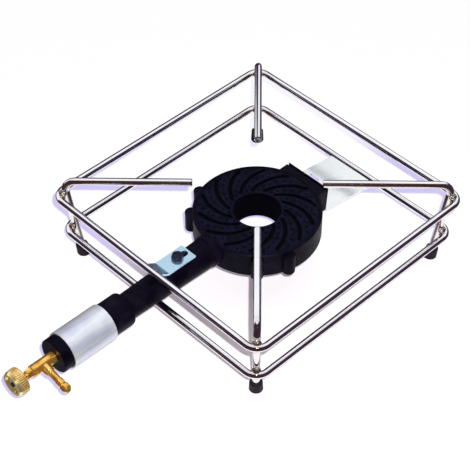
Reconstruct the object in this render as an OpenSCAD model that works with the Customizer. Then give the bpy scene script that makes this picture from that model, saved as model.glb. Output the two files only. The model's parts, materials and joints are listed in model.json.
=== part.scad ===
// Outdoor gas burner: a chromed rod stand that carries a cast-iron ring burner with its
// venturi tube, air sleeve and brass valve. Millimetres, +Z up. The valve points along -Y.

/* [Stand] */
// Side of the square upper ring, along the middle of the rod
stand_w = 352.5; // [310:0.5:420]
// How much shorter the sides of the lower ring are, so that the stand narrows downwards
ring_taper = 11; // [0:0.5:20]
// Corner radius of the rings, along the middle of the rod
ring_corner_r = 17; // [12:1:60]
// Diameter of the rod that the rings are bent from
ring_rod_d = 9; // [6:0.5:10]
// Diameter of the rod that the legs and arms are bent from
leg_rod_d = 9.5; // [8:0.5:14]
// Height of the upper ring's middle
upper_ring_z = 97.5; // [95:0.5:108]
// Height of the lower ring's middle
lower_ring_z = 41.5; // [35:0.5:48]
// Height of the pot support arms' middle
arm_z = 121; // [119:0.5:160]
// Bend radius between leg and arm, along the middle of the rod
leg_bend_r = 13; // [9:1:20]
// How much the bending draws the rod in, on each side
bend_draw = 0.02; // [0.02:0.01:0.1]
// Distance from the burner's axis to the tips of the arms
arm_tip_r = 79; // [50:1:110]
// Edge break on the tips of the arms
arm_tip_chamfer = 1; // [0.5:0.1:2]
// Gap between leg and ring that the weld fills
weld_gap = 0.4; // [0.2:0.1:1]
// Diameter of each weld
weld_d = 11; // [9:0.5:14]
// Height of each weld
weld_h = 13; // [11:0.5:16]
// Slope of a weld's ends, as rise and as width
weld_end = [3.5, 2.5];
// Gap between weld and rod in the model
weld_clear = 0.05; // [0.02:0.01:0.1]

/* [Feet] */
// Diameter of a rubber foot at the bottom
foot_d = 17; // [16:0.5:30]
// Diameter of a rubber foot at the top
foot_top_d = 15.5; // [15.5:0.5:28]
// Height of a rubber foot
foot_h = 14; // [10:0.5:25]
// Rubber under the end of the leg
foot_floor = 3; // [2:0.5:5]

/* [Burner bowl] */
// Outer diameter of the burner
bowl_d = 161; // [150:1:180]
// Height of the bowl
bowl_h = 38.5; // [36:0.5:44]
// How far the bowl hangs below its rear lug
bowl_drop = 4.5; // [3:0.25:7]
// Diameter of the hole in the middle of the burner
bowl_hole_d = 58; // [40:1:70]
// Thickness of the bowl's walls and floor
bowl_wall = 5; // [3.5:0.5:6]
// Edge break round the bottom of the bowl
bowl_bottom_chamfer = 5; // [2:0.5:6]
// Edge break round the rim of the bowl
bowl_rim_chamfer = 1.5; // [0.5:0.25:2]
// Width of the rim that stands round the cap
rim_w = 4; // [3:0.25:6]
// Width of the ledge in the bowl that the cap lies on
ledge_w = 3; // [2:0.25:5]
// Angles of the cast bosses on each side of the tube
boss_angles = [45, 73];
// Diameter of a cast boss
boss_d = 16; // [8:0.5:18]
// How far the bosses' middles lie outside the bowl's wall
boss_out = 1; // [0:0.5:4]
// How far a boss stops short of the bowl's rim
boss_drop = 5; // [2.5:0.25:8]
// How far a boss stops short of the bowl's bottom
boss_rise = 6.5; // [6.25:0.25:10]

/* [Rear lug] */
// Width of the lug
lug_w = 68; // [56:1:90]
// How far the lug's top stands out past the bowl's wall
lug_out = 11; // [10:0.5:20]
// How far the lug's rear face leans in towards its foot
lug_draft = 2.5; // [0:0.25:3]
// How far the lug's top lies below the rim
lug_top_drop = 2; // [2:0.5:6]
// Width of the groove along the lug's rear edge
lug_groove_w = 3; // [2:0.25:4]
// Depth of that groove
lug_groove_depth = 5; // [3:0.25:8]
// Width of the lip behind that groove
lug_lip_w = 1.25; // [1:0.25:2]

/* [Burner cap] */
// Thickness of the cap at its flat
cap_t = 6.5; // [5:0.25:8]
// How far the cap's flat stands above the rim
cap_proud = 0.5; // [0:0.25:2]
// Slope of the cap's outer edge, as drop and as width
cap_edge = [1.2, 7];
// Edge break round the cap's hole
cap_hole_chamfer = 1.5; // [0.5:0.25:3]
// Radial gap between cap and rim
cap_clear = 0.2; // [0.1:0.05:0.5]
// Number of spiral grooves
groove_n = 14; // [8:1:16]
// Width of a groove
groove_w = 5.2; // [3:0.1:6]
// Depth of a groove
groove_depth = 3; // [1.5:0.25:4]
// Distance from the cap's hole to the inner end of a groove's middle line
groove_inset = 6; // [4:0.5:10]
// Distance from the cap's edge to the outer end of a groove's middle line
groove_margin = 5; // [4:0.5:10]
// Angle that a groove turns through from its outer to its inner end
groove_sweep = 42; // [25:1:55]
// Rise of a groove's arc over its chord
groove_bow = 6.7; // [3:0.1:9]
// Number of flame ports in each row
port_n = 7; // [4:1:8]
// Diameter of a flame port
port_d = 2.8; // [1.5:0.1:3.2]

/* [Venturi tube] */
// Length of the socket on the bowl that takes the tube
socket_l = 8; // [7:0.5:14]
// Wall of that socket
socket_wall = 4.25; // [3:0.25:5]
// Metal between the cap's recess and the root of the socket
socket_skin = 0.5; // [0.3:0.1:1]
// Outer diameter of the tube at the socket
tube_head_d = 38.4; // [36:0.2:40]
// Outer diameter of the tube at the mixer
tube_neck_d = 33; // [31:0.2:35]
// Diameter of the tube's spigot in the socket
spigot_d = 32; // [29:0.5:33]
// Distance from the socket's root to the spigot's end
spigot_stop = 1; // [0.5:0.1:2]
// Bore of the tube at the burner
tube_bore_d = 23; // [18:0.5:24]
// Bore of the tube at the throat
throat_d = 20; // [14:0.5:22]
// Radial gap of pieces that are pressed or screwed together
fit_clear = 0.05; // [0.02:0.01:0.1]
// Gap between the tube and the lower ring under it
tube_ring_gap = 0.3; // [0.2:0.1:2]

/* [Mixer and air sleeve] */
// Distance from the burner's axis to the mixer's shoulder
mixer_start = 217; // [214:1:240]
// Length of the mixer
mixer_l = 107; // [100:1:130]
// Outer diameter of the mixer
mixer_d = 43; // [40:0.5:48]
// Bore of the mixer
mixer_bore_d = 33; // [28:0.5:34]
// Rounding of the mixer's shoulder
mixer_shoulder_r = 4; // [2:0.5:5]
// Thickness of the mixer's end wall
mixer_end_t = 8; // [6:0.5:12]
// Edge break round the end of the mixer
mixer_end_chamfer = 1; // [0.5:0.25:2]
// Number of air windows round the mixer
window_n = 4; // [2:1:4]
// Width of an air window
window_w = 15; // [8:0.5:18]
// Length of an air window
window_l = 34; // [20:1:38]
// Distance from the mixer's end to its air windows
window_inset = 24; // [20:0.5:28]
// Length of the air sleeve
sleeve_l = 62; // [50:1:70]
// Wall of the air sleeve
sleeve_t = 1.5; // [0.8:0.1:2]
// Radial gap between sleeve and mixer
sleeve_clear = 0.5; // [0.2:0.05:0.7]
// Distance from the mixer's shoulder to the sleeve, as it stands
sleeve_inset = 31.5; // [30:0.5:36]

/* [Front strap] */
// Width of the strap
strap_w = 24.5; // [20:0.5:32]
// Thickness of the strap and of the rear plate
sheet_t = 2.5; // [1.5:0.1:3]
// Distance from the burner's axis to the strap's bolt
strap_bolt_s = 133; // [125:1:140]
// Length of the strap from its bolt towards the burner
strap_front = 18; // [15:0.5:22]
// Level run from the upper ring back to the strap's bend
strap_riser_run = 18; // [12:0.5:24]
// Inner bend radius of the strap
strap_bend_r = 4; // [2:0.5:6]
// Length of the slot in the strap, from end to end
slot_l = 20; // [12:0.5:24]
// Gap between bolt and slot, on each side
slot_clear = 0.5; // [0.25:0.05:1]
// Height of the pad's top over the tube's middle
pad_h = 20.5; // [20:0.25:24]
// Width of the pad
pad_w = 20; // [16:0.5:26]
// Length of the pad
pad_l = 34; // [28:0.5:40]

/* [Rear plate] */
// Width of the plate
plate_w = 74; // [60:1:85]
// How far the plate runs from its bolts towards the bowl
plate_front = 14; // [8:0.5:20]
// Gap between the plate and the bowl's wall
plate_gap = 1.5; // [0.5:0.25:2.5]
// Angle by which the plate is turned out of square
plate_turn = 7; // [0:0.5:10]
// How far the plate's middle lies to the left of the burner's
plate_shift = 1.5; // [0:0.5:3]
// Length of the slot in the plate, from end to end
plate_slot_l = 19; // [14:0.5:26]
// Width of that slot
plate_slot_w = 8; // [5:0.5:10]
// Place of the slot to the left of the plate's middle
plate_slot_left = 18; // [0:0.5:20]
// Place of the slot behind the rear bolts
plate_slot_back = 31; // [20:0.5:40]

/* [Bolts] */
// Diameter of the strap's bolt
bolt_d = 8; // [6:0.5:9]
// Width of its head across the flats
bolt_af = 13; // [10:0.5:15]
// Height of its head
bolt_head_h = 5.3; // [4:0.1:6.5]
// Length of the strap's bolt under its head
strap_bolt_l = 8; // [6:0.5:9]
// Diameter of the rear bolts
rear_bolt_d = 6; // [4:0.5:7]
// Width of their heads across the flats
rear_bolt_af = 10; // [7:0.5:11]
// Height of their heads
rear_bolt_head_h = 4; // [2.8:0.1:5]
// Length of the rear bolts under their heads
rear_bolt_l = 18; // [14:0.5:22]
// Distance between the rear bolts
rear_bolt_pitch = 44; // [30:1:50]
// How far the rear bolts lie outside the bowl's wall
rear_bolt_out = 4.5; // [4:0.25:6]
// Edge break of the bolt heads
bolt_head_chamfer = 1; // [0.5:0.1:1.5]
// Spare depth of the tapped holes past the bolts
tap_spare = 1; // [0.5:0.25:2]
// Outer diameter of the rear washers
washer_d = 12; // [10:0.5:14]
// Thickness of the rear washers
washer_t = 1.6; // [1:0.1:2.5]

/* [Gas valve] */
// Diameter of the valve's thread in the mixer's end wall
valve_thread_d = 12; // [11:0.5:14]
// How far the valve's thread reaches past the end wall
valve_thread_proud = 4; // [2:0.5:6]
// Diameter of the valve body
valve_d = 14.5; // [14:0.5:18]
// Length of the valve body outside the mixer
valve_l = 31.5; // [30:0.5:40]
// Angle by which the valve is screwed past level, so that its branch points down
valve_turn = 11; // [0:1:30]
// Distance from the mixer's end to the middle of the side branch
branch_s = 15; // [13:0.5:17]
// Diameter of the side branch
branch_d = 12.5; // [10:0.5:13.5]
// Reach of the side branch from the valve's axis
branch_l = 12.5; // [11:0.5:16]
// Bore of the gas way at the needle's seat
seat_d = 3.2; // [2:0.1:3.6]
// Diameter of the chamber round the needle
chamber_d = 8.6; // [8.4:0.1:9.4]
// How far the chamber reaches past the side branch's bore, at each end
chamber_spare = 0.5; // [0.2:0.1:1]
// Diameter of the spindle's thread
spindle_thread_d = 8; // [7:0.1:8.2]
// How far the spindle moves out from shut to open
spindle_lift = 1.5; // [1:0.1:2]
// Gap between the spindle's thread and what lies before and behind it
thread_gap = 0.5; // [0.3:0.1:0.8]
// Diameter of the spindle's stem
stem_d = 5.8; // [5:0.1:6]
// Diameter of the stem round the needle
needle_stem_d = 5; // [4:0.1:5.4]
// Length of the needle's cone
needle_l = 3; // [2:0.1:4]
// Diameter of the needle's tip
needle_tip_d = 1.2; // [0.8:0.1:1.6]
// How far the needle reaches into its seat when shut
needle_seat = 1.5; // [1:0.1:2]
// Depth of the packing space in the valve's end
packing_l = 5; // [4:0.25:6]
// Diameter of the packing space
packing_d = 10; // [9.6:0.1:10.6]
// Thickness of the seal ring
seal_t = 2; // [1.6:0.1:2.2]
// Diameter of the gland nut outside the valve
gland_d = 12; // [11:0.5:14]
// Length of the gland nut outside the valve
gland_l = 7; // [5:0.5:9]
// Edge break of the valve body and the gland nut
brass_chamfer = 0.8; // [0.4:0.1:1.2]

/* [Gas jet] */
// Diameter of the jet's thread
jet_thread_d = 6; // [5:0.1:6.5]
// Length of the jet's thread
jet_thread_l = 5; // [4:0.5:6]
// Width of the jet's head across the flats
jet_af = 8; // [7:0.5:9]
// Length of the jet's head
jet_head_l = 5; // [4:0.5:7]
// Diameter of the jet's hole
jet_hole_d = 1; // [0.6:0.1:1.4]

/* [Hose nozzle] */
// Diameter of the nozzle's thread in the side branch
nozzle_thread_d = 7.5; // [6.4:0.1:8]
// Length of the nozzle's thread
nozzle_thread_l = 6; // [4:0.5:7]
// Diameter of the collar against the branch
collar_d = 11; // [9.5:0.5:12]
// Thickness of the collar
collar_t = 2.5; // [1.5:0.25:4]
// Diameter of the shank
shank_d = 8.4; // [6.6:0.1:9]
// Length of the plain shank
shank_l = 13; // [10:0.5:20]
// Diameter of the two small rings on the shank
nozzle_ring_d = 9.8; // [9.2:0.1:10.4]
// Width of each small ring
nozzle_ring_w = 1.8; // [1:0.1:2.5]
// Gap between the rings and before the bulge
nozzle_ring_gap = 1.4; // [1:0.1:2]
// Diameter of the bulge that holds the hose
bulge_d = 11; // [10:0.1:12]
// Length of the cone up to the bulge
bulge_cone_l = 2.5; // [1.5:0.25:4]
// Length of the bulge's straight land
bulge_land_l = 5; // [4.5:0.25:7]
// Rounding at the nozzle's mouth
mouth_r = 1.8; // [1:0.1:2.2]
// Length of the cone from the bulge to the mouth
mouth_cone_l = 2; // [1:0.25:4]
// Bore of the nozzle
nozzle_bore_d = 5; // [3.5:0.1:5.4]

/* [Knob] */
// Diameter of the knob
knob_d = 32.5; // [28:0.5:38]
// Diameter of the knob's front edge
knob_front_d = 28; // [24:0.5:28]
// Thickness of the knob
knob_t = 14; // [12.5:0.5:18]
// Length of the taper to the knob's front edge
knob_taper_l = 4.5; // [3:0.5:6]
// Gap between gland nut and knob when the valve is shut
knob_gap = 7; // [4:0.5:10]
// Depth of the dish in the knob's face
knob_dish = 2; // [1:0.25:3]
// Width of the knob's rim round the dish
knob_rim_w = 3; // [2:0.25:5]
// Edge break of the knob's rim
knob_chamfer = 1; // [0.5:0.1:2]
// Number of knurl notches round the rim
knurl_n = 40; // [20:1:48]
// Diameter of a knurl notch
knurl_d = 1.6; // [0.8:0.1:2]
// Depth of the spindle in the knob
knob_socket = 8; // [6:0.25:8.5]
// Diameter of the knob screw
screw_d = 3; // [2.5:0.1:3.5]
// Length of the knob screw under its head
screw_l = 9; // [7:0.5:10]
// Diameter of the knob screw's head
screw_head_d = 6.5; // [5:0.1:8]
// Height of the knob screw's head
screw_head_h = 1.8; // [1.2:0.1:2.5]

/* [Hidden] */
$fn = 64;

// Margin by which a cutting shape runs past the face that it cuts
cut = 1;
// Length by which a bend of the rod runs into the straight rods at its ends
bend_lap = 0.5;

// Stand: half the sides of the rings, and the diagonal reach of their corners
upper_half = stand_w / 2;
lower_half = upper_half - ring_taper / 2;
function ring_diag(half) = (half - ring_corner_r) * sqrt(2) + ring_corner_r;
corner_angles = [-45, 45, 135, 225];

// Legs: they stand inside the rings' corners and lean with the rings' taper
leg_lean = atan2(ring_diag(upper_half) - ring_diag(lower_half), upper_ring_z - lower_ring_z);
leg_inset = (ring_rod_d / 2 + weld_gap + leg_rod_d / 2) / cos(leg_lean);
function leg_diag(z) = ring_diag(lower_half) - leg_inset + (z - lower_ring_z) * tan(leg_lean);
leg_bend_z = arm_z - leg_bend_r;
leg_bend_diag = leg_diag(leg_bend_z) - leg_bend_r / cos(leg_lean);
leg_l = (leg_bend_z - leg_bend_r * sin(leg_lean)) / cos(leg_lean);
bend_lap_angle = bend_lap / leg_bend_r * 180 / PI;

// Burner: the lug stands on the plate, and the plate's middle lies level with the lower ring
plate_top_z = lower_ring_z + sheet_t / 2;
bowl_r = bowl_d / 2;
bowl_z = plate_top_z - bowl_drop;
rim_z = bowl_z + bowl_h;
cap_z = rim_z + cap_proud;
seat_z = cap_z - cap_t;
cap_r = bowl_r - rim_w;
bowl_hole_r = bowl_hole_d / 2;
lug_y = bowl_r + lug_out;
lug_top_z = rim_z - lug_top_drop;
rear_bolt_y = bowl_r + rear_bolt_out;

// Tube: its places are counted from the burner's axis, and it lies just above the lower ring
socket_end = bowl_r + socket_l;
socket_start = cap_r + cap_clear + socket_skin;
mixer_end = mixer_start + mixer_l;
tube_slope = (tube_neck_d - tube_head_d) / 2 / (mixer_start - socket_end);
function tube_r(s) = tube_head_d / 2 + tube_slope * (s - socket_end);
tube_z = lower_ring_z + ring_rod_d / 2 + tube_ring_gap + tube_r(lower_half);
spigot_start = socket_start + spigot_stop;
pad_z = tube_z + pad_h;
window_start = mixer_end - window_inset - window_l;
sleeve_start = mixer_start + sleeve_inset;

// Strap: its riser points at the middle of the upper ring's rod
strap_mid_z = pad_z + sheet_t / 2;
strap_corner_s = upper_half - strap_riser_run;
strap_rise = atan2(upper_ring_z - strap_mid_z, strap_riser_run);
strap_riser_l = norm([upper_ring_z - strap_mid_z, strap_riser_run]);
strap_mid_bend_r = strap_bend_r + sheet_t / 2;
strap_tangent = strap_mid_bend_r * tan(strap_rise / 2);
// Number of flats that the strap's bend is drawn with
strap_bend_n = 8;
slot_w = bolt_d + 2 * slot_clear;

// Valve: its places are counted along the tube from the mixer's end
valve_end = mixer_end + valve_l;
branch_at = mixer_end + branch_s;
chamber_start = branch_at - chamber_d / 2 - chamber_spare;
chamber_end = branch_at + chamber_d / 2 + chamber_spare;
jet_seat = mixer_end - mixer_end_t - valve_thread_proud;
packing_start = valve_end - packing_l;
seal_at = packing_start + seal_t / 2 + fit_clear;
gland_in = packing_start + seal_t + 3 * fit_clear;
gland_end = valve_end + gland_l;
needle_start = chamber_start - needle_seat;
thread_start = chamber_end + thread_gap;
thread_end = packing_start - spindle_lift - thread_gap;
knob_back = gland_end + knob_gap;
knob_front = knob_back + knob_t;
stem_end = knob_back + knob_socket;
screw_seat = knob_front - knob_dish;
screw_end = screw_seat - screw_l;

// Hose nozzle: its places are counted from the valve's axis
collar_end = branch_l + collar_t;
shank_end = collar_end + shank_l;
nozzle_ring_pitch = nozzle_ring_w + nozzle_ring_gap;
bulge_start = shank_end + 2 * nozzle_ring_pitch;
land_start = bulge_start + bulge_cone_l;
land_end = land_start + bulge_land_l;
nozzle_mouth = land_end + mouth_cone_l + mouth_r;

// The origin lies under the middle of the whole object's box
front_reach = max(knob_front, screw_seat + screw_head_h);
rear_reach = upper_half + ring_rod_d / 2;
origin_y = (front_reach - rear_reach) / 2;

CHROME = "silver";
CAST_IRON = [0.16, 0.16, 0.17];
BLACK_STEEL = [0.1, 0.1, 0.11];
ZINC = "gainsboro";
ALUMINIUM = "lightgray";
BRASS = "goldenrod";
RUBBER = [0.05, 0.05, 0.05];

// Moves the burner's axis to its place over the origin
module placed() {
  translate([0, origin_y, 0]) children();
}

// Turns +Z to run along the tube's axis, away from the burner
module along_tube(s = 0) {
  placed() translate([0, -s, tube_z]) rotate([90, 0, 0]) children();
}

// Turns +Z to run along the valve's side branch
module along_branch() {
  along_tube(branch_at) rotate(-valve_turn) rotate([0, 90, 0]) children();
}

// A hexagon prism with the edge of its top broken
module hex_head(af, h, chamfer) {
  corner_d = af / cos(30);
  intersection() {
    cylinder(h = h, d = corner_d, $fn = 6);
    cylinder(h = h, d1 = corner_d + 2 * (h - chamfer), d2 = corner_d - 2 * chamfer);
  }
}

// A slot with round ends, its length along X
module slot(length, width, h) {
  run = length - width;
  translate([-run / 2, -width / 2, 0]) cube([run, width, h]);
  for (end = [-1, 1])
    translate([end * run / 2, 0, 0]) cylinder(h = h, d = width);
}

// One round corner of a ring, on the diagonal at 45 degrees
module ring_corner(half, clear = 0) {
  flat = half - ring_corner_r;
  translate([flat, flat, 0])
    rotate_extrude(angle = 90)
      translate([ring_corner_r, 0]) circle(d = ring_rod_d + 2 * clear);
}

// One straight side of a ring, at -Y
module ring_side(half) {
  flat = half - ring_corner_r;
  translate([-flat, -half, 0])
    rotate([0, 90, 0]) cylinder(h = 2 * flat, d = ring_rod_d);
}

module ring(half) {
  for (quarter = [0:3])
    rotate(90 * quarter) {
      ring_side(half);
      ring_corner(half);
    }
}

module upper_ring() {
  color(CHROME) placed() translate([0, 0, upper_ring_z]) ring(upper_half);
}

module lower_ring() {
  color(CHROME) placed() translate([0, 0, lower_ring_z]) ring(lower_half);
}

// The leg's own line: from the floor up along +Z, on the diagonal at the X axis
module along_leg() {
  translate([leg_diag(0), 0, 0]) rotate([0, leg_lean, 0]) children();
}

// A leg with its arm, on the diagonal at the given angle
module leg(angle) {
  tip_d = leg_rod_d - 2 * arm_tip_chamfer;
  color(CHROME) placed() rotate(angle) {
    along_leg() translate([0, 0, foot_floor]) cylinder(h = leg_l - foot_floor, d = leg_rod_d);
    translate([leg_bend_diag, 0, leg_bend_z]) rotate([90, 0, 0])
      rotate(-leg_lean - bend_lap_angle)
        rotate_extrude(angle = 90 + leg_lean + 2 * bend_lap_angle)
          translate([leg_bend_r, 0]) circle(d = leg_rod_d - 2 * bend_draw);
    translate([arm_tip_r, 0, arm_z]) rotate([0, 90, 0]) {
      cylinder(h = arm_tip_chamfer, d1 = tip_d, d2 = leg_rod_d);
      translate([0, 0, arm_tip_chamfer])
        cylinder(h = leg_bend_diag - arm_tip_r - arm_tip_chamfer, d = leg_rod_d);
    }
  }
}

// A rubber cup on the end of a leg, cut level with the floor
module foot(angle) {
  bore_r = leg_rod_d / 2 + fit_clear;
  color(RUBBER) placed() rotate(angle)
    difference() {
      along_leg()
        rotate_extrude()
          polygon([
            [0, -foot_floor],
            [foot_d / 2, -foot_floor],
            [foot_d / 2, 0],
            [foot_top_d / 2, foot_h],
            [bore_r, foot_h],
            [bore_r, foot_floor],
            [0, foot_floor]
          ]);
      translate([leg_diag(0) - foot_d, -foot_d, -foot_d]) cube([2 * foot_d, 2 * foot_d, foot_d]);
    }
}

module leg_front_right() { leg(corner_angles[0]); }
module leg_rear_right() { leg(corner_angles[1]); }
module leg_rear_left() { leg(corner_angles[2]); }
module leg_front_left() { leg(corner_angles[3]); }
module foot_front_right() { foot(corner_angles[0]); }
module foot_rear_right() { foot(corner_angles[1]); }
module foot_rear_left() { foot(corner_angles[2]); }
module foot_front_left() { foot(corner_angles[3]); }

// A barrel-shaped bead of weld metal, upright, its middle at the origin
module weld_bead() {
  half = weld_h / 2;
  rotate_extrude()
    polygon([
      [0, -half],
      [weld_d / 2 - weld_end[1], -half],
      [weld_d / 2, weld_end[0] - half],
      [weld_d / 2, half - weld_end[0]],
      [weld_d / 2 - weld_end[1], half],
      [0, half]
    ]);
}

// Weld metal between each leg and one ring, cut to the rods that it joins
module ring_weld(half, z) {
  for (angle = corner_angles)
    rotate(angle)
      difference() {
        translate([ring_diag(half), 0, z]) rotate([0, leg_lean, 0])
          translate([-(ring_rod_d + weld_gap) / 2, 0, 0]) weld_bead();
        along_leg() cylinder(h = arm_z, d = leg_rod_d + 2 * weld_clear);
        translate([0, 0, z]) rotate(-45) ring_corner(half, weld_clear);
      }
}

module ring_welds() {
  color(CHROME) placed() {
    ring_weld(lower_half, lower_ring_z);
    ring_weld(upper_half, upper_ring_z);
  }
}

// The strap seen from the side: its length along X, its middle plane at Y = 0
module strap_outline() {
  turn = [for (i = [0:strap_bend_n]) strap_rise * i / strap_bend_n];
  bend = [strap_corner_s - strap_tangent, strap_mid_bend_r];
  low = [for (a = turn) bend + (strap_bend_r + sheet_t) * [sin(a), -cos(a)]];
  high = [for (a = turn) bend + strap_bend_r * [sin(a), -cos(a)]];
  rise = strap_riser_l * [cos(strap_rise), sin(strap_rise)] + [strap_corner_s, 0];
  across = sheet_t / 2 * [sin(strap_rise), -cos(strap_rise)];
  flat_start = strap_bolt_s - strap_front;
  polygon(concat(
    [[flat_start, -sheet_t / 2]],
    low,
    [rise + across, rise - across],
    [for (i = [strap_bend_n:-1:0]) high[i]],
    [[flat_start, sheet_t / 2]]
  ));
}

module front_strap() {
  slot_run = slot_l - slot_w;
  color(ZINC) placed()
    difference() {
      translate([strap_w / 2, 0, strap_mid_z]) rotate([90, 0, -90])
        linear_extrude(strap_w) strap_outline();
      translate([0, slot_run / 2 - strap_bolt_s, pad_z - cut])
        rotate(90) slot(slot_l, slot_w, sheet_t + 2 * cut);
      translate([0, 0, upper_ring_z]) ring_side(upper_half);
    }
}

module strap_bolt() {
  color(BLACK_STEEL) placed() translate([0, -strap_bolt_s, pad_z + sheet_t]) {
    hex_head(bolt_af, bolt_head_h, bolt_head_chamfer);
    translate([0, 0, -strap_bolt_l]) cylinder(h = strap_bolt_l, d = bolt_d);
  }
}

module rear_plate() {
  color(ZINC) placed()
    difference() {
      translate([0, 0, plate_top_z - sheet_t]) linear_extrude(sheet_t) plate_outline();
      translate([0, 0, lower_ring_z]) rotate(180) ring_side(lower_half);
    }
}

// The plate seen from above, up to the middle of the lower ring's rod
module plate_outline() {
  difference() {
    intersection() {
      on_plate()
        translate([-plate_w / 2, -plate_front]) square([plate_w, stand_w]);
      translate([-lower_half, 0]) square([2 * lower_half, lower_half]);
    }
    circle(r = bowl_r + plate_gap);
    at_rear_bolts() circle(d = rear_bolt_d + 2 * slot_clear);
    on_plate() translate([-plate_slot_left, plate_slot_back]) plate_slot_outline();
  }
}

// The plate's own middle line and turn
module on_plate() {
  translate([-plate_shift, rear_bolt_y]) rotate(-plate_turn) children();
}

module at_rear_bolts() {
  for (side = [-1, 1])
    translate([side * rear_bolt_pitch / 2, rear_bolt_y]) children();
}

// The plate's spare slot, flat
module plate_slot_outline() {
  run = plate_slot_l - plate_slot_w;
  square([run, plate_slot_w], center = true);
  for (end = [-1, 1])
    translate([end * run / 2, 0]) circle(d = plate_slot_w);
}

module rear_bolts() {
  color(BLACK_STEEL) placed() at_rear_bolts()
    translate([0, 0, plate_top_z - sheet_t - washer_t]) {
      rotate([180, 0, 0]) hex_head(rear_bolt_af, rear_bolt_head_h, bolt_head_chamfer);
      cylinder(h = rear_bolt_l, d = rear_bolt_d);
    }
}

module rear_washers() {
  color(ZINC) placed() at_rear_bolts()
    translate([0, 0, plate_top_z - sheet_t - washer_t])
      difference() {
        cylinder(h = washer_t, d = washer_d);
        translate([0, 0, -cut])
          cylinder(h = washer_t + 2 * cut, d = rear_bolt_d + 2 * slot_clear);
      }
}

// The bowl's outside, turned round the burner's axis
module bowl_outside() {
  rotate_extrude()
    polygon([
      [0, bowl_z],
      [bowl_r - bowl_bottom_chamfer, bowl_z],
      [bowl_r, bowl_z + bowl_bottom_chamfer],
      [bowl_r, rim_z - bowl_rim_chamfer],
      [bowl_r - bowl_rim_chamfer, rim_z],
      [0, rim_z]
    ]);
}

// The gas space in the bowl, with the seat and the recess for the cap above it
module bowl_inside() {
  inner_r = bowl_hole_r + bowl_wall;
  recess_r = cap_r + cap_clear;
  rotate_extrude() {
    translate([inner_r, bowl_z + bowl_wall])
      square([recess_r - ledge_w - inner_r, bowl_h]);
    translate([0, seat_z]) square([recess_r, bowl_h]);
  }
}

// The lug at the rear, with the groove along its edge
module lug() {
  groove_rear = lug_y - lug_lip_w;
  groove_front = groove_rear - lug_groove_w;
  groove_z = lug_top_z - lug_groove_depth;
  rotate([90, 0, 90])
    translate([0, 0, -lug_w / 2])
      linear_extrude(lug_w)
        polygon([
          [bowl_r / 2, plate_top_z],
          [lug_y - lug_draft, plate_top_z],
          [lug_y, lug_top_z],
          [groove_rear, lug_top_z],
          [groove_rear, groove_z],
          [groove_front, groove_z],
          [groove_front, lug_top_z],
          [bowl_r / 2, lug_top_z]
        ]);
}

module bosses() {
  for (side = [-1, 1], angle = boss_angles)
    rotate(side * angle) translate([0, -(bowl_r + boss_out), bowl_z + boss_rise])
      cylinder(h = bowl_h - boss_rise - boss_drop, d = boss_d);
}

module burner_bowl() {
  socket_d = spigot_d + 2 * fit_clear;
  tap_l = rear_bolt_l - sheet_t - washer_t + tap_spare;
  color(CAST_IRON)
    difference() {
      union() {
        placed() {
          bowl_outside();
          lug();
          bosses();
        }
        along_tube(socket_start)
          cylinder(h = socket_end - socket_start, d = socket_d + 2 * socket_wall);
      }
      placed() {
        bowl_inside();
        translate([0, 0, bowl_z - cut]) cylinder(h = bowl_h + 2 * cut, r = bowl_hole_r);
        at_rear_bolts()
          translate([0, 0, plate_top_z - cut])
            cylinder(h = cut + tap_l, d = rear_bolt_d + 2 * fit_clear);
      }
      along_tube(spigot_start) cylinder(h = socket_end - spigot_start + cut, d = socket_d);
      along_tube(bowl_r - 2 * bowl_wall) cylinder(h = 2 * bowl_wall, d = tube_bore_d);
    }
}

// A groove's ends, its arc's radius and its arc's middle, seen from above
groove_in = (bowl_hole_r + groove_inset) * [cos(groove_sweep), sin(groove_sweep)];
groove_out = (cap_r - groove_margin) * [1, 0];
groove_chord = groove_out - groove_in;
groove_chord_l = norm(groove_chord);
groove_r = (pow(groove_chord_l / 2, 2) + pow(groove_bow, 2)) / (2 * groove_bow);
groove_side = [groove_chord[1], -groove_chord[0]] / groove_chord_l;
groove_mid = (groove_in + groove_out) / 2 + groove_side * (groove_r - groove_bow);
groove_from = atan2(groove_out[1] - groove_mid[1], groove_out[0] - groove_mid[0]);
groove_to = atan2(groove_in[1] - groove_mid[1], groove_in[0] - groove_mid[0]);
function groove_point(t) =
  let (angle = groove_from + t * (groove_to - groove_from))
  groove_mid + groove_r * [cos(angle), sin(angle)];

// A groove with round ends, flat
module groove_outline() {
  intersection() {
    translate(groove_mid)
      difference() {
        circle(r = groove_r + groove_w / 2);
        circle(r = groove_r - groove_w / 2);
      }
    polygon([
      groove_mid,
      groove_mid + 2 * (groove_out - groove_mid),
      groove_mid + 2 * (groove_in - groove_mid)
    ]);
  }
  for (end = [groove_in, groove_out])
    translate(end) circle(d = groove_w);
}

module groove() {
  translate([0, 0, cap_z - groove_depth])
    linear_extrude(groove_depth + cut) groove_outline();
}

module port_row() {
  for (i = [0:port_n - 1]) {
    place = groove_point(i / (port_n - 1));
    translate([place[0], place[1], seat_z - cut]) cylinder(h = cap_t + 2 * cut, d = port_d);
  }
}

module burner_cap() {
  pitch = 360 / groove_n;
  color(CAST_IRON) placed()
    difference() {
      rotate_extrude()
        polygon([
          [bowl_hole_r, seat_z],
          [cap_r, seat_z],
          [cap_r, cap_z - cap_edge[0]],
          [cap_r - cap_edge[1], cap_z],
          [bowl_hole_r + cap_hole_chamfer, cap_z],
          [bowl_hole_r, cap_z - cap_hole_chamfer]
        ]);
      for (i = [0:groove_n - 1]) {
        rotate(i * pitch) groove();
        rotate((i + 0.5) * pitch) port_row();
      }
    }
}

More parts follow.
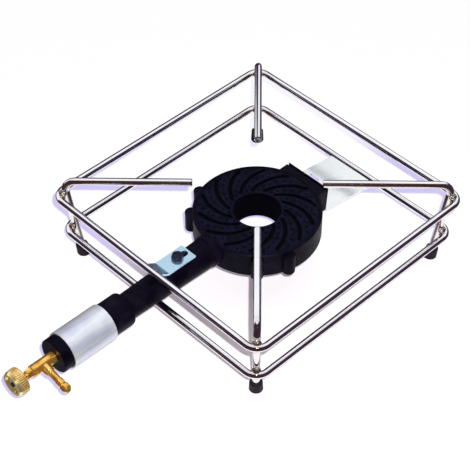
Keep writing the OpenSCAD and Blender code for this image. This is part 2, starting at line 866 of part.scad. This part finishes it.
// Half outline of the tube and mixer: the radius along X and the place along the tube on Y
module tube_outline() {
  mixer_r = mixer_d / 2;
  polygon([
    [0, spigot_start],
    [spigot_d / 2, spigot_start],
    [spigot_d / 2, socket_end],
    [tube_head_d / 2, socket_end],
    [tube_neck_d / 2, mixer_start],
    [mixer_r - mixer_shoulder_r, mixer_start],
    [mixer_r - mixer_shoulder_r, mixer_start + mixer_shoulder_r],
    [mixer_r, mixer_start + mixer_shoulder_r],
    [mixer_r, mixer_end - mixer_end_chamfer],
    [mixer_r - mixer_end_chamfer, mixer_end],
    [0, mixer_end]
  ]);
  translate([mixer_r - mixer_shoulder_r, mixer_start + mixer_shoulder_r])
    circle(r = mixer_shoulder_r);
}

// Half outline of the gas way through the tube and mixer
module tube_bore_outline() {
  mouth_l = (mixer_bore_d - throat_d) / 2;
  polygon([
    [0, spigot_start - cut],
    [tube_bore_d / 2, spigot_start - cut],
    [throat_d / 2, mixer_start],
    [mixer_bore_d / 2, mixer_start + mouth_l],
    [mixer_bore_d / 2, mixer_end - mixer_end_t],
    [0, mixer_end - mixer_end_t]
  ]);
}

module air_windows() {
  for (i = [0:window_n - 1])
    rotate(i * 360 / window_n)
      translate([0, 0, window_start + window_l / 2])
        rotate([0, 90, 0]) slot(window_l, window_w, mixer_d);
}

module venturi_tube() {
  color(CAST_IRON)
    difference() {
      union() {
        along_tube() rotate_extrude() tube_outline();
        placed() translate([0, -strap_bolt_s, tube_z]) rotate(90) slot(pad_l, pad_w, pad_h);
      }
      along_tube() rotate_extrude() tube_bore_outline();
      along_tube() air_windows();
      along_tube(mixer_end - mixer_end_t - cut)
        cylinder(h = mixer_end_t + 2 * cut, d = valve_thread_d + 2 * fit_clear);
      placed() translate([0, -strap_bolt_s, pad_z + sheet_t - strap_bolt_l - tap_spare])
        cylinder(h = strap_bolt_l + tap_spare, d = bolt_d + 2 * fit_clear);
    }
}

module air_sleeve() {
  inner_d = mixer_d + 2 * sleeve_clear;
  color(ALUMINIUM) along_tube(sleeve_start)
    difference() {
      cylinder(h = sleeve_l, d = inner_d + 2 * sleeve_t);
      translate([0, 0, -cut]) cylinder(h = sleeve_l + 2 * cut, d = inner_d);
    }
}

module gas_valve_body() {
  color(BRASS)
    difference() {
      union() {
        along_tube(jet_seat) cylinder(h = mixer_end - jet_seat, d = valve_thread_d);
        along_tube(mixer_end) cylinder(h = valve_l - brass_chamfer, d = valve_d);
        along_tube(valve_end - brass_chamfer)
          cylinder(h = brass_chamfer, d1 = valve_d, d2 = valve_d - 2 * brass_chamfer);
        along_branch() cylinder(h = branch_l, d = branch_d);
      }
      along_tube(jet_seat - cut)
        cylinder(h = jet_thread_l + cut, d = jet_thread_d + 2 * fit_clear);
      along_tube(jet_seat) cylinder(h = chamber_start - jet_seat + cut, d = seat_d);
      along_tube(chamber_start) {
        cylinder(h = chamber_end - chamber_start, d = chamber_d);
        cylinder(h = valve_end - chamber_start, d = spindle_thread_d + 2 * fit_clear);
      }
      along_tube(packing_start) cylinder(h = packing_l + cut, d = packing_d);
      along_branch() cylinder(h = branch_l + cut, d = nozzle_thread_d + 2 * fit_clear);
    }
}

module gas_jet() {
  color(BRASS) along_tube()
    difference() {
      union() {
        translate([0, 0, jet_seat]) cylinder(h = jet_thread_l, d = jet_thread_d);
        translate([0, 0, jet_seat]) rotate([180, 0, 0]) hex_head(jet_af, jet_head_l, brass_chamfer);
      }
      translate([0, 0, jet_seat - jet_head_l - cut])
        cylinder(h = jet_head_l + jet_thread_l + 2 * cut, d = jet_hole_d);
      translate([0, 0, jet_seat]) cylinder(h = jet_thread_l + cut, d = seat_d);
    }
}

// Half outline of the hose nozzle: the radius along X and the place along the nozzle on Y
module nozzle_outline() {
  translate([0, branch_l - nozzle_thread_l]) square([nozzle_thread_d / 2, nozzle_thread_l]);
  translate([0, branch_l]) square([collar_d / 2, collar_t]);
  translate([0, collar_end]) square([shank_d / 2, bulge_start - collar_end]);
  for (i = [0, 1])
    translate([0, shank_end + i * nozzle_ring_pitch]) square([nozzle_ring_d / 2, nozzle_ring_w]);
  polygon([
    [0, bulge_start],
    [shank_d / 2, bulge_start],
    [bulge_d / 2, land_start],
    [bulge_d / 2, land_end],
    [nozzle_bore_d / 2 + mouth_r, nozzle_mouth - mouth_r],
    [nozzle_bore_d / 2, nozzle_mouth],
    [0, nozzle_mouth]
  ]);
}

module hose_nozzle() {
  color(BRASS) along_branch()
    difference() {
      rotate_extrude() nozzle_outline();
      cylinder(h = nozzle_mouth + cut, d = nozzle_bore_d);
    }
}

module valve_spindle() {
  seat_r = seat_d / 2 - fit_clear;
  tip_r = needle_tip_d / 2;
  cone_r = tip_r + (seat_r - tip_r) * needle_l / needle_seat;
  needle_end = needle_start + needle_l;
  tap_start = screw_end - tap_spare;
  color(BRASS) along_tube()
    difference() {
      rotate_extrude()
        polygon([
          [0, needle_start],
          [tip_r, needle_start],
          [min(cone_r, needle_stem_d / 2), needle_end],
          [needle_stem_d / 2, needle_end],
          [needle_stem_d / 2, thread_start],
          [spindle_thread_d / 2, thread_start],
          [spindle_thread_d / 2, thread_end],
          [stem_d / 2, thread_end],
          [stem_d / 2, stem_end],
          [0, stem_end]
        ]);
      translate([0, 0, tap_start])
        cylinder(h = stem_end - tap_start + cut, d = screw_d + 2 * fit_clear);
    }
}

module spindle_seal() {
  seal_in = stem_d / 2 + fit_clear;
  seal_out = packing_d / 2 - fit_clear;
  color(RUBBER) along_tube(seal_at - seal_t / 2)
    rotate_extrude() translate([seal_in, 0]) square([seal_out - seal_in, seal_t]);
}

module gland_nut() {
  color(BRASS) along_tube()
    difference() {
      union() {
        translate([0, 0, gland_in])
          cylinder(h = valve_end - gland_in, d = packing_d - 2 * fit_clear);
        translate([0, 0, valve_end]) hex_head(gland_d * cos(30), gland_l, brass_chamfer);
      }
      translate([0, 0, gland_in - cut])
        cylinder(h = gland_end - gland_in + 2 * cut, d = stem_d + 2 * fit_clear);
    }
}

// Half outline of the knob: the radius along X and the place along the valve on Y
module knob_outline() {
  knob_r = knob_d / 2;
  front_r = knob_front_d / 2;
  dish_r = front_r - knob_rim_w;
  polygon([
    [0, knob_back],
    [knob_r - knob_chamfer, knob_back],
    [knob_r, knob_back + knob_chamfer],
    [knob_r, knob_front - knob_taper_l],
    [front_r, knob_front],
    [dish_r, knob_front],
    [dish_r - knob_dish, screw_seat],
    [0, screw_seat]
  ]);
}

module valve_knob() {
  color(BRASS) along_tube()
    difference() {
      rotate_extrude() knob_outline();
      for (i = [0:knurl_n - 1])
        rotate(i * 360 / knurl_n)
          translate([knob_d / 2, 0, knob_back - cut])
            cylinder(h = knob_t + 2 * cut, d = knurl_d);
      translate([0, 0, knob_back - cut])
        cylinder(h = knob_socket + cut, d = stem_d + 2 * fit_clear);
      translate([0, 0, knob_back]) cylinder(h = knob_t, d = screw_d + 2 * fit_clear);
    }
}

module knob_screw() {
  color(BLACK_STEEL) along_tube(screw_seat) {
    translate([0, 0, -screw_l]) cylinder(h = screw_l, d = screw_d);
    cylinder(h = screw_head_h, d1 = screw_head_d, d2 = screw_head_d - screw_head_h);
  }
}

upper_ring();
lower_ring();
leg_front_right();
leg_rear_right();
leg_rear_left();
leg_front_left();
foot_front_right();
foot_rear_right();
foot_rear_left();
foot_front_left();
ring_welds();
front_strap();
strap_bolt();
rear_plate();
rear_bolts();
rear_washers();
burner_bowl();
burner_cap();
venturi_tube();
air_sleeve();
gas_valve_body();
gas_jet();
hose_nozzle();
valve_spindle();
spindle_seal();
gland_nut();
valve_knob();
knob_screw();
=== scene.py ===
"""Looks of the outdoor gas burner: materials, light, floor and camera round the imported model."""
import json
import math

import bpy
from mathutils import Matrix, Vector


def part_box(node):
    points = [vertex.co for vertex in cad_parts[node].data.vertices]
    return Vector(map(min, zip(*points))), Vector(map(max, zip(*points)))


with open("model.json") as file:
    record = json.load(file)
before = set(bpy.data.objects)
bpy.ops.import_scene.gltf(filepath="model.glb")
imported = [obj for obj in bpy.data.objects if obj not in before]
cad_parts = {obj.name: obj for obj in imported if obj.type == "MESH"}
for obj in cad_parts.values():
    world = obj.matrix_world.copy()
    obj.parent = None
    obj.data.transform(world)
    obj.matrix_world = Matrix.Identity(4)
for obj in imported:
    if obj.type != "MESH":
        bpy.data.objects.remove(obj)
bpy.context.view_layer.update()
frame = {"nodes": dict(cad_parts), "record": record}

# The burner's axis, the cap's top and the radius of its hole, in metres
cap_low, cap_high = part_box("burner_cap")
AXIS_Y = (cap_low[1] + cap_high[1]) / 2
CAP_TOP = cap_high[2]
HOLE_R = 0.029

# The legs stand this far from the axis along X and Y, and lean out by this much for each metre of height
foot_low, foot_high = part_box("foot_front_right")
LEG_FOOT = (foot_low[0] + foot_high[0]) / 2
LEG_LEAN = 0.098

# Most of a noise's values lie between these two
NOISE_LOW = 0.3
NOISE_HIGH = 0.7

# Where a Mix node keeps its share and its two colours, and where it gives the mixed colour
MIX_INPUTS = (0, 6, 7)
MIX_COLOR = 2


class Nodes:
    """A short way to write a node tree. Colours are three numbers, and names have _ for a space."""

    def __init__(self, tree, coord):
        self.nodes = tree.nodes
        self.links = tree.links
        self.nodes.clear()
        self.coord = self.new("TexCoord").outputs[coord]

    def put(self, value, socket):
        """Links an input to another node, or sets its value."""
        if isinstance(value, bpy.types.NodeSocket):
            self.links.new(value, socket)
        elif isinstance(value, tuple) and socket.type == "RGBA":
            socket.default_value = (*value, 1.0)
        else:
            socket.default_value = value

    def fill(self, node, values):
        for name, value in values.items():
            self.put(value, node.inputs[name.replace("_", " ")])

    def new(self, kind, **values):
        """A new node with these inputs."""
        node = self.nodes.new("ShaderNode" + kind)
        self.fill(node, values)
        return node

    def math(self, operation, a, b=0.0):
        node = self.new("Math")
        node.operation = operation
        self.put(a, node.inputs[0])
        self.put(b, node.inputs[1])
        return node.outputs[0]

    def length(self, a, b):
        """The long side of a right triangle with sides a and b."""
        square = self.math("ADD", self.math("MULTIPLY", a, a), self.math("MULTIPLY", b, b))
        return self.math("SQRT", square)

    def span(self, value, start, end, low=0.0, high=1.0):
        """The value, taken from start and end to low and high, and held there beyond them."""
        node = self.new("MapRange", Value=value, From_Min=start, From_Max=end, To_Min=low, To_Max=high)
        return node.outputs["Result"]

    def mix(self, share, a, b, blend="MIX"):
        """The colour a where the share is 0, and b where it is 1."""
        node = self.new("Mix")
        node.data_type = "RGBA"
        node.blend_type = blend
        for value, number in zip((share, a, b), MIX_INPUTS):
            self.put(value, node.inputs[number])
        return node.outputs[MIX_COLOR]

    def along(self, direction):
        """How far the place or direction that is shaded lies along a vector."""
        node = self.new("VectorMath")
        node.operation = "DOT_PRODUCT"
        self.put(self.coord, node.inputs[0])
        self.put(direction, node.inputs[1])
        return node.outputs["Value"]


class Material(Nodes):
    """A material with one main shader, which is shaded by its place in the frame, in metres."""

    def __init__(self, name):
        self.material = bpy.data.materials.new(name)
        self.material.use_nodes = True
        super().__init__(self.material.node_tree, "Object")
        self.shader = self.new("BsdfPrincipled")
        self.out = self.new("OutputMaterial", Surface=self.shader.outputs["BSDF"])

    def set(self, **values):
        """Sets inputs of the main shader."""
        self.fill(self.shader, values)

    def noise(self, scale, detail=4.0, rough=0.55, distortion=0.0, stretch=None):
        """Noise with this many lumps to the metre, or with the lumps stretched along an axis."""
        vector = self.coord
        if stretch:
            vector = self.new("Mapping", Vector=self.coord, Scale=stretch).outputs["Vector"]
        node = self.new("TexNoise", Vector=vector, Scale=scale, Detail=detail, Roughness=rough,
                        Distortion=distortion)
        return node.outputs["Fac"]

    def ramp(self, share, stops):
        """A colour that passes through these stops, each a position and a colour."""
        node = self.new("ValToRGB", Fac=share)
        elements = node.color_ramp.elements
        while len(elements) < len(stops):
            elements.new(position=0.5)
        for element, (position, color) in zip(elements, stops):
            element.position = position
            element.color = (*color, 1.0)
        return node.outputs["Color"]

    def vary(self, noise, low, high):
        """A value that goes from low to high with a noise."""
        return self.span(noise, NOISE_LOW, NOISE_HIGH, low, high)

    def bump(self, height, strength, distance):
        """Adds a relief of this height, in metres, to those that are there."""
        node = self.new("Bump", Height=height, Strength=strength, Distance=distance)
        before = self.shader.inputs["Normal"].links
        if before:
            self.put(before[0].from_socket, node.inputs["Normal"])
        self.put(node.outputs["Normal"], self.shader.inputs["Normal"])

    def xyz(self):
        """The place that is shaded, with y measured from the burner's axis."""
        node = self.new("SeparateXYZ", Vector=self.coord)
        return node.outputs["X"], self.math("SUBTRACT", node.outputs["Y"], AXIS_Y), node.outputs["Z"]

    def near_legs(self, close, far):
        """1 up to close from the middle of a leg, and 0 further than far from it."""
        x, y, z = self.xyz()
        leg = self.math("ADD", self.math("MULTIPLY", z, LEG_LEAN), LEG_FOOT)
        off_x = self.math("SUBTRACT", self.math("ABSOLUTE", x), leg)
        off_y = self.math("SUBTRACT", self.math("ABSOLUTE", y), leg)
        return self.span(self.length(off_x, off_y), close, far, low=1.0, high=0.0)


def chrome():
    """Chromed rod, tinted brown in patches by the heat of the welds at the legs."""
    dull = (0.86, 0.86, 0.89)
    bright = (0.95, 0.96, 0.97)
    brown = (0.40, 0.26, 0.16)
    straw = (0.78, 0.66, 0.54)
    most_heat = 0.40
    look = Material("chromed_rod")
    fine = look.noise(scale=420.0, detail=3.0)
    plain = look.ramp(look.noise(scale=26.0, detail=5.0), [(0.3, dull), (0.7, bright)])
    tinted = look.ramp(look.noise(scale=85.0, detail=3.0), [(0.35, brown), (0.62, straw)])
    patches = look.vary(look.noise(scale=60.0), 0.0, most_heat)
    heat = look.math("MULTIPLY", look.near_legs(close=0.008, far=0.030), patches)
    look.set(Base_Color=look.mix(heat, plain, tinted), Metallic=1.0, Roughness=look.vary(fine, 0.03, 0.07))
    look.bump(fine, strength=0.05, distance=0.0004)
    return look.material


def weld():
    """Rippled weld beads, from burnt brown to bare steel."""
    burnt = (0.10, 0.075, 0.06)
    brown = (0.34, 0.28, 0.23)
    steel = (0.64, 0.61, 0.60)
    look = Material("weld_metal")
    ripple = look.noise(scale=330.0, distortion=1.2)
    color = look.ramp(ripple, [(0.3, burnt), (0.55, brown), (0.75, steel)])
    look.set(Base_Color=color, Metallic=1.0, Roughness=look.vary(ripple, 0.22, 0.5))
    look.bump(ripple, strength=0.9, distance=0.0012)
    return look.material


def rubber(name, grain_scale):
    """Black rubber with a fine grain and some dust."""
    black = (0.012, 0.004, 0.014)
    dusty = (0.030, 0.013, 0.034)
    look = Material(name)
    grain = look.noise(scale=grain_scale, detail=3.0)
    color = look.ramp(look.noise(scale=70.0, detail=5.0), [(0.35, black), (0.75, dusty)])
    look.set(Base_Color=color, Roughness=look.vary(grain, 0.45, 0.65), Specular_IOR_Level=0.16)
    look.bump(grain, strength=0.35, distance=0.0005)
    return look.material


def cast_iron(name, grooved=False):
    """Blackened cast iron with a sandy skin. Painted shade darkens the wall of the burner's hole and, on the
    grooved cap, the grooves and the ports, where little light reaches."""
    black = (0.0015, 0.001, 0.004)
    middle = (0.004, 0.003, 0.009)
    pale = (0.012, 0.008, 0.020)
    land_dark = (0.001, 0.0014, 0.004)
    painted_sheen_blue = (0.008, 0.010, 0.032)
    sheen_share = 0.6
    # Painted shade: the colour and the level of the shade painted into the burner's hole and the cap's
    # grooves and ports
    painted_shade = (0.0006, 0.0004, 0.0010)
    shaded_level = 0.12
    hole_edge = (HOLE_R + 0.0004, HOLE_R + 0.0016)
    groove_edge = (CAP_TOP - 0.0018, CAP_TOP - 0.0006)
    dullest = 0.86
    look = Material(name)
    sand = look.noise(scale=760.0, detail=6.0, rough=0.65)
    lumps = look.noise(scale=95.0)
    color = look.ramp(look.noise(scale=48.0, detail=6.0), [(0.30, black), (0.52, middle), (0.75, pale)])
    x, y, z = look.xyz()
    # Painted shade on the wall of the burner's hole, where the iron is also made duller
    unshaded = look.span(look.length(x, y), *hole_edge, low=shaded_level)
    if grooved:
        # Painted shade in the cap's grooves and ports, below its top
        unshaded = look.math("MULTIPLY", unshaded, look.span(z, *groove_edge, low=shaded_level))
        # Painted sheen: a blue tint mixed into the cap's colour stands in for the blue sheen on its lands
        land_sheen = look.ramp(look.noise(scale=150.0, detail=3.0), [(0.38, land_dark), (0.62, painted_sheen_blue)])
        color = look.mix(sheen_share, color, land_sheen)
    smoother = look.math("MULTIPLY", unshaded, look.vary(lumps, 0.50, 0.34))
    look.set(Base_Color=look.mix(unshaded, painted_shade, color), Roughness=look.math("SUBTRACT", dullest, smoother),
             Specular_IOR_Level=0.065, Specular_Tint=(0.70, 0.66, 1.0))
    look.bump(lumps, strength=0.22, distance=0.0016)
    look.bump(sand, strength=0.35, distance=0.0006)
    return look.material


def zinc(name, tint):
    """Zinc-plated sheet with faint flakes and with marks drawn out along its length."""
    flake_dark = (0.93, 0.98, 0.985)
    flake_pale = (0.97, 0.99, 0.99)
    mark_dark = (0.86, 0.91, 0.94)
    mark_pale = (0.96, 0.99, 0.99)
    mark_share = 0.25
    look = Material(name)
    flakes = look.new("TexVoronoi", Vector=look.coord, Scale=120.0).outputs["Color"]
    marks = look.noise(scale=220.0, detail=5.0, stretch=(1.0, 0.12, 1.0))
    tone = look.mix(mark_share, look.ramp(flakes, [(0.2, flake_dark), (0.8, flake_pale)]),
                    look.ramp(marks, [(0.3, mark_dark), (0.7, mark_pale)]))
    tinted = look.mix(1.0, tone, tint, "MULTIPLY")
    look.set(Base_Color=tinted, Metallic=0.9, Roughness=look.vary(marks, 0.16, 0.22))
    look.bump(marks, strength=0.03, distance=0.0003)
    return look.material


def black_steel():
    """Blackened bolts and screw, with a blue gloss."""
    black = (0.006, 0.006, 0.018)
    worn = (0.020, 0.020, 0.050)
    look = Material("black_steel")
    wear = look.noise(scale=210.0, detail=5.0)
    look.set(Base_Color=look.ramp(wear, [(0.35, black), (0.78, worn)]), Roughness=look.vary(wear, 0.24, 0.36),
             Specular_IOR_Level=0.22, Specular_Tint=(0.60, 0.66, 1.0))
    look.bump(wear, strength=0.15, distance=0.0004)
    return look.material


def aluminium():
    """Dull aluminium with clouds, and with streaks along its length."""
    cloud_dark = (0.66, 0.67, 0.88)
    cloud_pale = (0.96, 1.0, 1.0)
    streak_dark = (0.60, 0.67, 0.87)
    streak_pale = (1.0, 1.0, 1.0)
    streak_share = 0.5
    look = Material("aluminium")
    streaks = look.noise(scale=150.0, detail=6.0, stretch=(1.0, 0.10, 1.0))
    cloud = look.noise(scale=34.0, detail=5.0)
    grain = look.noise(scale=1100.0, detail=3.0)
    color = look.mix(streak_share, look.ramp(cloud, [(0.34, cloud_dark), (0.66, cloud_pale)]),
                     look.ramp(streaks, [(0.36, streak_dark), (0.64, streak_pale)]))
    look.set(Base_Color=color, Metallic=0.50, Roughness=look.vary(cloud, 0.38, 0.50))
    look.bump(streaks, strength=0.10, distance=0.0005)
    look.bump(grain, strength=0.10, distance=0.0003)
    return look.material


def brass(name, dark, middle, pale):
    """Tarnished brass with fine turning marks round the valve's axis."""
    look = Material(name)
    tarnish = look.noise(scale=120.0, detail=5.0)
    turned = look.noise(scale=700.0, detail=3.0, stretch=(0.3, 1.0, 0.3))
    color = look.ramp(tarnish, [(0.28, dark), (0.5, middle), (0.74, pale)])
    look.set(Base_Color=color, Metallic=0.8, Roughness=look.vary(tarnish, 0.28, 0.16))
    look.bump(turned, strength=0.08, distance=0.0003)
    return look.material


# Each material slot has a look, and three nodes have one of their own
LOOKS = {
    "chromed_rod": chrome(),
    "weld_metal": weld(),
    "foot_rubber": rubber("foot_rubber", grain_scale=900.0),
    "seal_rubber": rubber("seal_rubber", grain_scale=1800.0),
    "cast_iron": cast_iron("cast_iron"),
    "zinc_sheet": zinc("zinc_sheet", tint=(1.0, 1.0, 1.0)),
    "black_steel": black_steel(),
    "aluminium": aluminium(),
    "brass": brass("brass", dark=(0.66, 0.27, 0.025), middle=(0.94, 0.52, 0.10),
                   pale=(1.0, 0.80, 0.30)),
}
OWN_LOOKS = {
    "burner_cap": cast_iron("cast_iron_cap", grooved=True),
    "front_strap": zinc("zinc_strap", tint=(0.58, 0.80, 0.98)),
    "valve_knob": brass("brass_knob", dark=(0.92, 0.54, 0.14), middle=(1.0, 0.80, 0.34),
                        pale=(1.0, 0.94, 0.66)),
}
for part in frame["record"]["subparts"]:
    piece = frame["nodes"][part["node"]]
    piece.data.materials.clear()
    piece.data.materials.append(OWN_LOOKS.get(part["node"], LOOKS[part["material_slot"]]))

# Camera: fitted to the rings, legs and burner in the photograph
PICTURE_PX = 470.0
FOCUS_PX = 1468.592
SENSOR_MM = 36.0
VIEW_END = 50.0
ELEVATION = math.radians(45.0)
AZIMUTH = math.radians(45.8138)
CAMERA_AWAY = 1.82094
TARGET = Vector((-0.010517, -0.028087 + AXIS_Y, 0.044363))
back = Vector((math.sin(AZIMUTH) * math.cos(ELEVATION),
               -math.cos(AZIMUTH) * math.cos(ELEVATION),
               math.sin(ELEVATION)))
right = Vector((math.cos(AZIMUTH), math.sin(AZIMUTH), 0.0))
up = back.cross(right)
place = TARGET + back * CAMERA_AWAY
camera_data = bpy.data.cameras.new("camera")
camera_data.sensor_width = SENSOR_MM
camera_data.lens = FOCUS_PX / PICTURE_PX * SENSOR_MM
camera_data.clip_end = VIEW_END
camera = bpy.data.objects.new("camera", camera_data)
bpy.context.collection.objects.link(camera)
camera.matrix_world = Matrix(((right.x, up.x, back.x, place.x),
                              (right.y, up.y, back.y, place.y),
                              (right.z, up.z, back.z, place.z),
                              (0, 0, 0, 1)))
bpy.context.scene.camera = camera

# The level direction towards the camera, and the upright
near = Vector((math.sin(AZIMUTH), -math.cos(AZIMUTH), 0.0))
rise = Vector((0.0, 0.0, 1.0))


def floor_material():
    """White floor. The lamp on its paint and its own glow make white together, so a shadow shows the glow
    alone: lilac at the sides, darker in front, and faint in the bare zone behind and further out."""
    side_paint_low = (0.60, 0.70, 0.18)
    side_paint_high = (0.61, 0.71, 0.19)
    front_paint = (0.98, 1.0, 0.98)
    bare_paint = (0.12, 0.14, 0.05)
    side_glow = (0.525, 0.447, 0.86)
    front_glow = (0.24, 0.190, 0.23)
    bare_glow = (0.905, 0.89, 0.96)
    slanted_floor = (0.050, 0.026, 0.030)
    limit_legs = 0.36
    limit_away = 0.17
    look = Material("floor")

    # The zones, in metres from the burner's axis
    x, y, _ = look.xyz()
    toward = look.math("ADD", look.math("MULTIPLY", x, near.x), look.math("MULTIPLY", y, near.y))
    across = look.math("ADD", look.math("MULTIPLY", x, right.x), look.math("MULTIPLY", y, right.y))
    front = look.math("MULTIPLY", look.span(toward, start=-0.03, end=0.04),
                      look.span(across, start=-0.22, end=-0.15))
    behind = look.span(toward, start=-0.23, end=-0.17, low=1.0, high=0.0)
    bare = look.math("MAXIMUM", behind, look.span(look.length(x, y), start=0.40, end=0.60))

    grain = look.noise(scale=3.0, detail=2.0)
    side_paint = look.ramp(grain, [(0.3, side_paint_low), (0.7, side_paint_high)])
    paint = look.mix(bare, look.mix(front, side_paint, front_paint), bare_paint)
    look.set(Base_Color=paint, Roughness=0.9, Specular_IOR_Level=0.0)

    # The glow lights nothing: only the camera, metal and glass see it
    path = look.new("LightPath").outputs
    seen = look.math("MAXIMUM", path["Is Camera Ray"], path["Is Glossy Ray"])
    seen = look.math("MAXIMUM", seen, path["Is Transmission Ray"])
    shadow = look.mix(bare, look.mix(front, side_glow, front_glow), bare_glow)
    glow = look.new("Emission", Color=shadow, Strength=seen)
    both = look.new("AddShader")
    look.put(look.shader.outputs["BSDF"], both.inputs[0])
    look.put(glow.outputs["Emission"], both.inputs[1])

    # Metal shows the floor white where it is seen steeply, and dark where the slant is past the limit
    facing = look.new("LayerWeight").outputs["Facing"]
    limit = look.span(look.near_legs(close=0.13, far=0.20), start=0.0, end=1.0, low=limit_away,
                      high=limit_legs)
    slanted = look.span(look.math("SUBTRACT", facing, limit), start=0.0, end=0.08)
    dark = look.new("Emission", Color=slanted_floor)
    either = look.new("MixShader")
    look.put(look.math("MULTIPLY", path["Is Glossy Ray"], slanted), either.inputs[0])
    look.put(both.outputs["Shader"], either.inputs[1])
    look.put(dark.outputs["Emission"], either.inputs[2])
    look.put(either.outputs["Shader"], look.out.inputs["Surface"])
    return look.material


FLOOR_SIZE = 14.0
bpy.ops.mesh.primitive_plane_add(size=FLOOR_SIZE, location=(0.0, 0.0, 0.0))
floor = bpy.context.object
floor.name = "floor"
floor.data.materials.append(floor_material())

# Key light: a small lamp above the camera and to its right, with the same strength at every distance
KEY_STRENGTH = 2.9
KEY_RADIUS = 0.014
KEY_RIGHT = 0.057
KEY_UP = 0.067
lamp = bpy.data.lights.new("key", "POINT")
lamp.energy = 4 * math.pi * KEY_STRENGTH
lamp.shadow_soft_size = KEY_RADIUS
lamp.use_nodes = True
falloff = lamp.node_tree.nodes.new("ShaderNodeLightFalloff")
falloff.inputs["Strength"].default_value = 1.0
emission = lamp.node_tree.nodes["Emission"]
lamp.node_tree.links.new(falloff.outputs["Constant"], emission.inputs["Strength"])
key = bpy.data.objects.new("key", lamp)
bpy.context.collection.objects.link(key)
key.location = place + right * KEY_RIGHT + up * KEY_UP


def room():
    """The room as the metal shows it: a white ceiling, a far wall that is purple on the left and grey on the
    right, blue low down on the far right, and a dark wall behind the camera, brown in the middle and violet
    at its ends. To the camera itself the room is white."""
    purple = (0.050, 0.008, 0.050)
    grey = (0.07, 0.10, 0.15)
    blue = (0.06, 0.05, 0.15)
    brown = (0.052, 0.018, 0.014)
    violet = (0.044, 0.024, 0.054)
    white = (1.0, 1.0, 1.0)
    seen_strength = 1.0
    diffuse_strength = 0.25
    far_turn = 0.1
    far_slope = 1.4
    near_slope = 0.47
    world = bpy.data.worlds.new("room")
    bpy.context.scene.world = world
    world.use_nodes = True
    look = Nodes(world.node_tree, "Generated")
    sideways = look.along(right)

    # The far wall's upper edge climbs to the left
    far_wall = look.mix(look.span(sideways, start=-0.35, end=0.35), purple, grey)
    away = look.span(look.along(far_turn * right - near), start=0.70, end=0.74)
    above_edge = look.span(look.along(far_slope * right + rise), start=0.66, end=0.71)
    far = look.mix(look.mix(away, white, above_edge), far_wall, white)
    low_right = look.span(look.along(right - rise), start=0.18, end=0.30)
    far = look.mix(low_right, far, blue)

    # The near wall is highest straight behind the camera
    near_wall = look.mix(look.span(look.math("ABSOLUTE", sideways), start=0.20, end=0.55), brown, violet)
    above_near = look.span(look.along(rise - near_slope * near), start=0.76, end=0.86)
    close = look.mix(above_near, near_wall, white)
    shown = look.mix(look.span(look.along(near), start=-0.25, end=-0.10), far, close)

    # It gives dull surfaces and the floor little light
    path = look.new("LightPath").outputs
    strength = look.span(path["Is Diffuse Ray"], start=0.0, end=1.0, low=seen_strength, high=diffuse_strength)
    color = look.mix(path["Is Camera Ray"], shown, white)
    light = look.new("Background", Color=color, Strength=strength)
    look.new("OutputWorld", Surface=light.outputs["Background"])


room()
bpy.context.scene.view_settings.view_transform = "Standard"
